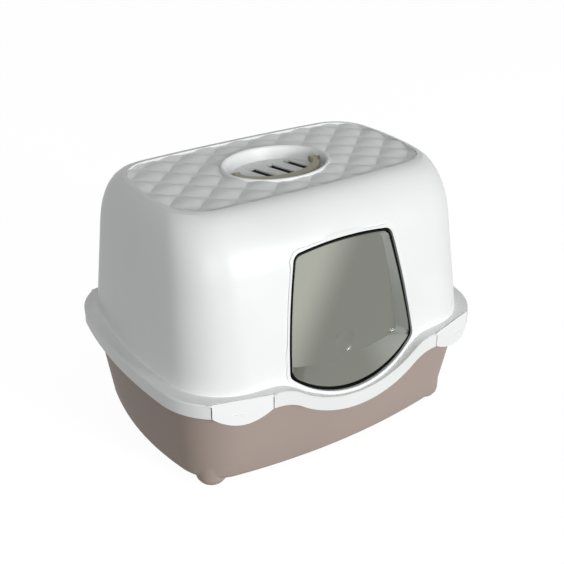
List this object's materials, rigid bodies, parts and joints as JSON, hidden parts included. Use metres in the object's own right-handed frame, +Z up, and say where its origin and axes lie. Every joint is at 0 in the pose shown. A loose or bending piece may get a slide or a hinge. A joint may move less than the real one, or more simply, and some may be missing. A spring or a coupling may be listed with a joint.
{
  "type": "covered litter box",
  "caption": "Covered litter box: flared tray, lift-off hood with quilted top, smoked swing flap, folding carry handle in a vented bowl and corner latches.",
  "frame": {"origin": "on the floor under the middle of the box", "axes": "+X along the long front, to the right seen from the door; +Y to the back; +Z up"},
  "size_m": [0.58, 0.47, 0.4256],
  "materials": {
    "white_shell": "satin moulded",
    "taupe_tray": "satin moulded",
    "taupe_handle": "satin moulded",
    "smoked_flap": "translucent gloss",
    "carbon_pad": "felted"
  },
  "bodies": {
    "base": {"tray": "taupe_tray"},
    "hood": {"hood": "white_shell", "handle_cup": "white_shell", "quilted_panel": "white_shell", "filter_pad": "carbon_pad", "filter_holder": "white_shell"},
    "flap": {"entry_flap": "smoked_flap"},
    "handle": {"carry_handle": "taupe_handle"},
    "latch_front_left": {"latch_front_left": "white_shell"},
    "latch_front_right": {"latch_front_right": "white_shell"},
    "latch_rear_left": {"latch_rear_left": "white_shell"},
    "latch_rear_right": {"latch_rear_right": "white_shell"}
  },
  "joints": [
    {"name": "hood_lift", "type": "slide", "parent": "base", "child": "hood", "axis": [0, 0, 1], "range_m": [0, 0.15]},
    {"name": "flap_swing", "type": "hinge", "parent": "hood", "child": "flap", "pos_m": [0, -0.17562, 0.344], "axis": [1, 0, 0], "range_deg": [-75, 80]},
    {"name": "handle_swing", "type": "hinge", "parent": "hood", "child": "handle", "pos_m": [0, 0, 0.416], "axis": [-1, 0, 0], "range_deg": [0, 90]},
    {"name": "front_left_latch_swing", "type": "hinge", "parent": "hood", "child": "latch_front_left", "pos_m": [-0.19343, -0.21343, 0.1803], "axis": [-0.9604, 0.2786, 0], "range_deg": [0, 60]},
    {"name": "front_right_latch_swing", "type": "hinge", "parent": "hood", "child": "latch_front_right", "pos_m": [0.19343, -0.21343, 0.1803], "axis": [-0.9604, -0.2786, 0], "range_deg": [0, 60]},
    {"name": "rear_left_latch_swing", "type": "hinge", "parent": "hood", "child": "latch_rear_left", "pos_m": [-0.19343, 0.21343, 0.1803], "axis": [0.9604, 0.2786, 0], "range_deg": [0, 60]},
    {"name": "rear_right_latch_swing", "type": "hinge", "parent": "hood", "child": "latch_rear_right", "pos_m": [0.19343, 0.21343, 0.1803], "axis": [0.9604, -0.2786, 0], "range_deg": [0, 60]}
  ]
}
